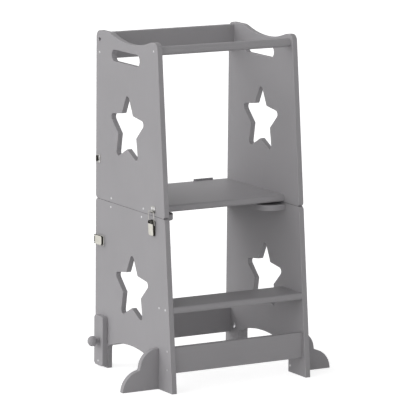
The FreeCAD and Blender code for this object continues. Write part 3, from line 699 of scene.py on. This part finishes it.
def strike_frame(side, where):
    """A front strike shares its latch's frame. A rear one sits where the fold brings its latch."""
    matrix = latch_frame(side, where)
    if where == "rear":
        fold = JOINTS["fold"]
        point = Vector(fold["pos_m"])
        turn = Matrix.Rotation(math.pi, 4, AXES[X])
        matrix = Matrix.Translation(point) @ turn @ Matrix.Translation(-point) @ matrix
    return matrix


SIDE_VIEW = Matrix(((0, 1, 0, 0), (0, 0, 1, 0), (1, 0, 0, 0), (0, 0, 0, 1)))


def mm(points):
    return [Vector(point) * MM for point in points]


def arc_points(centre, radius, start, stop, steps):
    return [(centre[0] + radius * math.cos(math.radians(start + (stop - start) * i / steps)),
             centre[1] + radius * math.sin(math.radians(start + (stop - start) * i / steps)))
            for i in range(steps + 1)]


PIN = (PIN_UP, 0.0)
CURL = [(0, 1.7), (3.25, 1.7), *arc_points(PIN, CURL_RADIUS, 144, 450, 34), (0, CURL_RADIUS)]


def lever_top(u):
    """Height of the lever's face over the panel."""
    return LEVER_UP - LEVER_FALL * -u / LEVER_LENGTH


FLANGE = [(1.7, -33.5), (lever_top(-33.5) - 0.3, -33.5), (lever_top(-5.2) - 0.3, -5.2), (8.95, -3.6),
          *arc_points(PIN, 3.4, 0, 180, 18)]
LIP = [(1.8, -35.0), (1.8, -33.8), (lever_top(-34) - 0.6, -33.8), (lever_top(-34) - 0.6, -35.0)]
HOOK = [(0, 24), (5.4, 24), (5.4, 27.6), (4.2, 27.6), (4.2, 25.2), (0, 25.2)]


def round_pin(radius, count, clockwise=False):
    """The lever pin or its bore in the side view."""
    return [point + Vector(PIN) * MM for point in circle((0, 0), radius * MM, count, clockwise)]


def latch(side, where):
    matrix = latch_frame(side, where)
    sideways = matrix @ SIDE_VIEW

    base = Slab()
    plate = rounded_rectangle((-BASE_LENGTH * MM, -BASE_HALF * MM), (BASE_NOSE * MM, BASE_HALF * MM),
                              3 * MM)
    base.add([plate], 0, SHEET * MM, 0.3 * MM, matrix, steps=3)
    base.add([mm(CURL), round_pin(PIN_BORE, 24, True)], -CURL_HALF * MM, CURL_HALF * MM, 0.2 * MM,
             sideways, steps=2)
    # Painted shade: the base plate and its curl are in near-black steel
    base.piece(f"{where}_latch_base_{side}_plate", SHADED, "lower_frame", "zinc_steel",
               [f"{where}_latch_base_{side}"])
    away = (matrix.to_3x3() @ Vector((0, 0, 1))).normalized()
    spots = [(matrix @ Vector((u * MM, 0, SHEET * MM)), away, turn)
             for u, turn in ((-11, 20), (-29, 60))]
    screws(f"{where}_latch_base_{side}_screws", spots, "lower_frame", ZINC, 2.9)

    lever, sides = Slab(), Slab()
    slope = Matrix.Rotation(-math.atan2(LEVER_FALL, LEVER_LENGTH), 4, "Y")
    slope.translation = Vector((0, 0, LEVER_UP * MM))
    dent = rounded_rectangle((-31.5 * MM, -5.2 * MM), (-12 * MM, 5.2 * MM), 3 * MM, True)
    lever.add([lever_face()], -SHEET * MM, 0, 0.5 * MM, matrix @ slope, steps=3,
              pits=[(dent, 0.35 * MM, 0.3 * MM)])
    for low in (-LEVER_HALF, LEVER_HALF - SHEET):
        sides.add([refined(mm(FLANGE), 1.4 * MM)], low * MM, (low + SHEET) * MM, 0.35 * MM, sideways,
                  steps=3)
    sides.add([refined(mm(LIP), 0.4 * MM)], -9 * MM, 9 * MM, 0.2 * MM, sideways, steps=2)
    sides.add([round_pin(PIN_RADIUS, 24)], -11.99 * MM, 11.99 * MM, 0.3 * MM, sideways, steps=2)
    # Painted shade: the flanges, lip and pin are in near-black steel
    sides.piece(f"{where}_latch_lever_{side}_flanges", SHADED, f"{where}_lever_{side}", "zinc_steel")
    lever.piece(f"{where}_latch_lever_{side}_channel", NICKEL, f"{where}_lever_{side}", "zinc_steel",
                [f"{where}_latch_lever_{side}"])

    bail(side, where)

    matrix = strike_frame(side, where)
    strike, hook = Slab(), Slab()
    plate = rounded_rectangle((STRIKE_START * MM, -STRIKE_HALF * MM),
                              (STRIKE_END * MM, STRIKE_HALF * MM), 2.5 * MM)
    strike.add([plate], 0, SHEET * MM, 0.3 * MM, matrix, steps=3)
    strike.piece(f"{where}_strike_{side}_plate", PLATE, "upper_frame", "zinc_steel",
                 [f"{where}_strike_{side}"])
    hook.add([refined(mm(HOOK), 0.5 * MM)], -HOOK_HALF * MM, HOOK_HALF * MM, 0.25 * MM,
             matrix @ SIDE_VIEW, steps=2)
    # Painted shade: the hook is in near-black steel
    hook.piece(f"{where}_strike_{side}_hook", SHADED, "upper_frame", "zinc_steel")
    away = (matrix.to_3x3() @ Vector((0, 0, 1))).normalized()
    spots = [(matrix @ Vector((34.5 * MM, v * MM, SHEET * MM)), away, 35 + v) for v in (-6, 6)]
    screws(f"{where}_strike_{side}_screws", spots, "upper_frame", SCREW, 2.8)


def lever_face():
    """Face of the lever: square at the window by the pin, rounded at the free end."""
    points = [(FACE_START, -FACE_HALF), (FACE_START, FACE_HALF)]
    points += arc_points((FACE_END + FACE_ROUND, FACE_HALF - FACE_ROUND), FACE_ROUND, 90, 180, 8)
    points += arc_points((FACE_END + FACE_ROUND, -FACE_HALF + FACE_ROUND), FACE_ROUND, 180, 270, 8)
    return mm(points)


def bail(side, where):
    """Loop of round wire from hole to hole in the lever's flanges, round behind the strike's hook."""
    node = f"{where}_latch_bail_{side}"
    pivot = Vector(JOINTS[f"{where}_bail_{side}_turn"]["pos_m"])
    across = latch_frame(side, where).to_3x3() @ Vector((0, 1, 0))
    corners = [vert.co for vert in NODES[node].data.vertices]
    pivot += across * ((sum((c - pivot).dot(across) for c in corners)) / len(corners))

    def reach(corner):
        """How far a corner of the node is from the pivot's axis."""
        return (corner - pivot - across * (corner - pivot).dot(across)).length

    far = max(reach(c) for c in corners)
    ends = [c for c in corners if reach(c) > far - 2.5 * MM]
    along = sum(((c - pivot) for c in ends), Vector()) / len(ends)
    along = (along - across * along.dot(across)).normalized()
    # Corners in (along, across) with the radius of each bend
    path = [(Vector(corner), radius) for corner, radius in
            (((0, 10.7), 0), ((0, BAIL_HALF), 1.6), ((BAIL_REACH, BAIL_HALF), 4.2),
             ((BAIL_REACH, -BAIL_HALF), 4.2), ((0, -BAIL_HALF), 1.6), ((0, -10.7), 0))]
    line = [path[0][0]]
    for (before, _), (here, radius), (after, _) in zip(path, path[1:], path[2:]):
        start = here + (before - here).normalized() * radius
        stop = here + (after - here).normalized() * radius
        line += [start, *along_arc(start, stop, turn_at(before, here, after), 8), stop]
    line.append(path[-1][0])
    curve = bpy.data.curves.new(f"{node}_wire", "CURVE")
    curve.dimensions = "3D"
    curve.bevel_depth = BAIL_WIRE_RADIUS * MM
    curve.bevel_resolution = 4
    curve.use_fill_caps = True
    spline = curve.splines.new("POLY")
    spline.points.add(len(line) - 1)
    for point, place in zip(spline.points, line):
        point.co = (*(pivot + along * place.x * MM + across * place.y * MM), 1.0)
    finished(bpy.data.objects.new(f"{node}_wire", curve), WIRE, f"{where}_bail_{side}",
             [node])


for side in SIDES:
    for where in ("front", "rear"):
        latch(side, where)


# ---------------------------------------------------------------------------------------------
# Butt hinges
# ---------------------------------------------------------------------------------------------
LEAF_START = 3.6 * MM
LEAF_PLATE = 1.6 * MM
KNUCKLE_RADIUS = 3.18 * MM
KNUCKLE_GAP = 0.1 * MM


def hinge_leaf(side, half):
    """Leaf with its rolled knuckles: two on the lower leaf and one on the upper one."""
    low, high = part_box(f"hinge_leaf_{half}_{side}")
    pin = (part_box(f"hinge_pin_{side}")[0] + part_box(f"hinge_pin_{side}")[1]) / 2
    up = 1 if half == "upper" else -1
    owned = (1,) if half == "upper" else (0, 2)
    third = (high.x - low.x) / 3
    start, stop = pin.z + up * LEAF_START, (high.z if up > 0 else low.z)
    tabs = [(low.x + third * i + KNUCKLE_GAP, low.x + third * (i + 1) - KNUCKLE_GAP) for i in owned]
    # Outline in (z, x): along the far edge, then back along the pin with a step for each knuckle
    corners = [(stop, low.x), (stop, high.x), (start, high.x)]
    for first, last in reversed(tabs):
        corners += [(start, last), (pin.z, last), (pin.z, first), (start, first)]
    corners.append((start, low.x))
    kept = [corners[0]]
    for corner in corners[1:]:
        if math.dist(corner, kept[-1]) > 0.3 * MM:
            kept.append(corner)
    outline = [Vector(corner) for corner in kept]
    if up > 0:
        outline.reverse()
    leaf = Slab()
    leaf.add([refined(outline, 1.5 * MM)], low.y, low.y + LEAF_PLATE, 0.3 * MM, frame_on(Y), steps=3)
    for first, last in tabs:
        roll = [circle((pin.y, pin.z), KNUCKLE_RADIUS, 40),
                circle((pin.y, pin.z), PIN_BORE * MM, 24, clockwise=True)]
        leaf.add(roll, first, last, 0.3 * MM, frame_on(X), steps=3)
    leaf.piece(f"hinge_leaf_{half}_{side}_plate", ZINC, f"{half}_frame", "zinc_steel",
               [f"hinge_leaf_{half}_{side}"])
    spots = []
    for k, (x, reach) in enumerate(((9, 10), (30, 17), (51, 10))):
        spots.append(((low.x + x * MM, low.y + LEAF_PLATE, pin.z + up * (reach + 1) * MM), AXES[Y],
                      20 + 35 * k))
    screws(f"hinge_leaf_{half}_{side}_screws", spots, f"{half}_frame", SCREW, 3.1)


for side in SIDES:
    for half in ("lower", "upper"):
        hinge_leaf(side, half)
    NODES[f"hinge_pin_{side}"].data.materials.clear()
    NODES[f"hinge_pin_{side}"].data.materials.append(WIRE)


# ---------------------------------------------------------------------------------------------
# Floor, light and camera
# ---------------------------------------------------------------------------------------------
def light_world():
    """Soft light in wide lobes, strongest from the left. Camera, glossy and transmission rays see
    white instead."""
    world = bpy.data.worlds.new("studio")
    scene.world = world
    world.use_nodes = True
    tree = world.node_tree
    tree.nodes.clear()

    def step(operation, *inputs):
        node = tree.nodes.new("ShaderNodeMath")
        node.operation = operation
        for socket, value in zip(node.inputs, inputs):
            if isinstance(value, (int, float)):
                socket.default_value = value
            else:
                tree.links.new(value, socket)
        return node.outputs["Value"]

    place = tree.nodes.new("ShaderNodeTexCoord")
    total = 0.0
    for direction, strength in LIGHT_LOBES:
        aim = tree.nodes.new("ShaderNodeVectorMath")
        aim.operation = "DOT_PRODUCT"
        aim.inputs[1].default_value = Vector(direction).normalized()
        tree.links.new(place.outputs["Generated"], aim.inputs[0])
        lobe = step("POWER", step("MAXIMUM", aim.outputs["Value"], 0.0), LOBE_POWER)
        total = step("ADD", step("MULTIPLY", lobe, strength), total)
    soft = tree.nodes.new("ShaderNodeBackground")
    tree.links.new(total, soft.inputs["Strength"])
    white = tree.nodes.new("ShaderNodeBackground")
    white.inputs["Color"].default_value = (1, 1, 1, 1)
    mix = tree.nodes.new("ShaderNodeMixShader")
    tree.links.new(seen_directly(tree), mix.inputs["Fac"])
    tree.links.new(soft.outputs["Background"], mix.inputs[1])
    tree.links.new(white.outputs["Background"], mix.inputs[2])
    output = tree.nodes.new("ShaderNodeOutputWorld")
    tree.links.new(mix.outputs["Shader"], output.inputs["Surface"])


def seen_directly(tree):
    """1 for camera, glossy and transmission rays, otherwise 0."""
    path = tree.nodes.new("ShaderNodeLightPath")
    total = path.outputs["Is Camera Ray"]
    for name in ("Is Glossy Ray", "Is Transmission Ray"):
        either = tree.nodes.new("ShaderNodeMath")
        either.operation = "MAXIMUM"
        tree.links.new(total, either.inputs[0])
        tree.links.new(path.outputs[name], either.inputs[1])
        total = either.outputs["Value"]
    return total


def floor_material():
    """Pale floor that looks white and keeps a faint shadow."""
    nodes = Nodes("pale_floor")
    speck = nodes.noise(nodes.coordinates((1, 1, 1)), 40.0, 3.0)
    nodes.link(nodes.tint((0.8, 0.8, 0.8), nodes.spread(speck, 0.99, 1.01)),
               nodes.shader.inputs["Base Color"])
    nodes.shader.inputs["Roughness"].default_value = 0.9
    nodes.shader.inputs["Specular IOR Level"].default_value = 0.0
    glow = nodes.add("ShaderNodeEmission")
    nodes.link(nodes.math("MULTIPLY", seen_directly(nodes.tree), FLOOR_GLOW), glow.inputs["Strength"])
    both = nodes.add("ShaderNodeAddShader")
    nodes.link(nodes.shader.outputs["BSDF"], both.inputs[0])
    nodes.link(glow.outputs["Emission"], both.inputs[1])
    nodes.link(both.outputs["Shader"], nodes.output.inputs["Surface"])
    return nodes.material


def add_floor():
    mesh = bpy.data.meshes.new("floor")
    reach = FLOOR_REACH
    corners = [(-reach, -reach, 0), (reach, -reach, 0), (reach, reach, 0), (-reach, reach, 0)]
    mesh.from_pydata(corners, [], [(0, 1, 2, 3)])
    floor = bpy.data.objects.new("floor", mesh)
    scene.collection.objects.link(floor)
    mesh.materials.append(floor_material())


def add_camera():
    """The photograph's camera, from a fit to its edges."""
    camera = bpy.data.cameras.new("camera")
    camera.sensor_width = SENSOR_WIDTH
    camera.lens = FOCAL_PIXELS / PHOTO_PIXELS * SENSOR_WIDTH
    camera.clip_end = 100.0
    thing = bpy.data.objects.new("camera", camera)
    scene.collection.objects.link(thing)
    yaw, pitch, roll = CAMERA_YAW, CAMERA_PITCH, CAMERA_ROLL
    forward = Vector((math.sin(yaw) * math.cos(pitch), math.cos(yaw) * math.cos(pitch),
                      math.sin(pitch)))
    level = Vector((math.cos(yaw), -math.sin(yaw), 0))
    above = level.cross(forward)
    right = level * math.cos(roll) + above * math.sin(roll)
    up = above * math.cos(roll) - level * math.sin(roll)
    matrix = Matrix((right, up, -forward)).transposed().to_4x4()
    matrix.translation = CAMERA_PLACE
    thing.matrix_world = matrix
    scene.camera = thing


light_world()
add_floor()
add_camera()
scene.view_settings.view_transform = "Standard"
